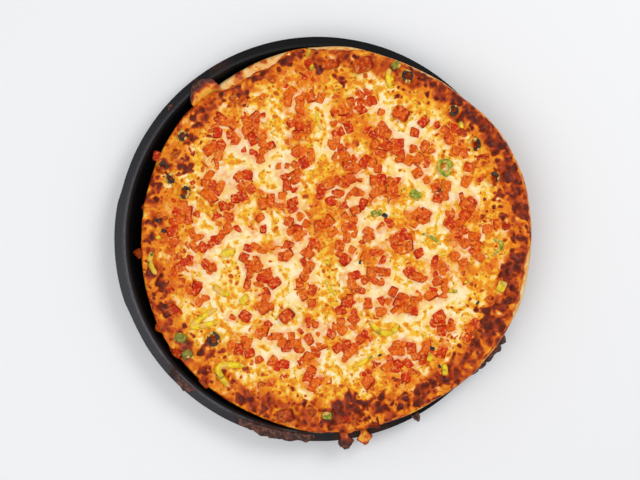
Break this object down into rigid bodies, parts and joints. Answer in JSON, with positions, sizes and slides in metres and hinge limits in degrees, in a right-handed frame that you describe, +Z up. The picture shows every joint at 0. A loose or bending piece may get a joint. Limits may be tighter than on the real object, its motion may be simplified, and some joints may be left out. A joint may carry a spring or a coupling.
{
  "type": "deep dish pizza in its pan",
  "caption": "Round deep dish pizza with diced tomato, banana pepper and olive on browned cheese, lying askew in its black rimmed pan.",
  "frame": {"origin": "centre of the pan's underside, on the surface it stands on", "axes": "+Z up, +X towards the side where the pizza lies on the rim, +Y away from the viewer"},
  "size_m": [0.3819, 0.3808, 0.0551],
  "materials": {
    "pan": "hard-anodised black, satin, scuffed grey along the rim, baked-on film in places",
    "crust": "baked bread, golden, darker at blisters, dusted with flour underneath",
    "cheese": "melted cheese, cream to golden, oily sheen, brown freckles, burnt at the rim",
    "tomato": "cooked diced tomato, moist",
    "banana_pepper": "pickled banana pepper, moist and slightly see-through",
    "green_pepper": "cooked green pepper and olive-green chilli, moist",
    "olive": "black olive slices, moist",
    "burnt_cheese": "crisp burnt cheese, dark brown, brittle, slightly shiny"
  },
  "bodies": {
    "root": {"pan": "pan", "crust": "crust", "cheese": "cheese", "tomato_1": "tomato", "tomato_2": "tomato", "tomato_3": "tomato", "tomato_4": "tomato", "tomato_5": "tomato", "pepper_ring_1": "banana_pepper", "pepper_ring_2": "banana_pepper", "pepper_strip_1": "banana_pepper", "pepper_strip_2": "banana_pepper", "pepper_strip_3": "banana_pepper", "pepper_strip_4": "banana_pepper", "pepper_strip_5": "banana_pepper", "pepper_strip_6": "banana_pepper", "pepper_strip_7": "banana_pepper", "pepper_piece_1": "banana_pepper", "pepper_piece_2": "banana_pepper", "pepper_piece_3": "banana_pepper", "green_piece_1": "green_pepper", "green_piece_2": "green_pepper", "green_piece_3": "green_pepper", "green_piece_4": "green_pepper", "green_piece_5": "green_pepper", "green_piece_6": "green_pepper", "green_strip_1": "green_pepper", "green_strip_2": "green_pepper", "green_slice_1": "green_pepper", "olive_1": "olive", "olive_2": "olive", "olive_3": "olive", "olive_4": "olive", "olive_5": "olive", "olive_6": "olive", "olive_7": "olive", "olive_8": "olive", "olive_9": "olive", "crisp_lobe": "burnt_cheese", "crisp_crumb_1": "burnt_cheese", "crisp_film": "burnt_cheese", "crisp_skirt": "burnt_cheese", "crisp_drip": "burnt_cheese", "crisp_blob": "burnt_cheese", "crisp_crumb_2": "burnt_cheese", "crisp_strip": "burnt_cheese"}
  },
  "joints": []
}
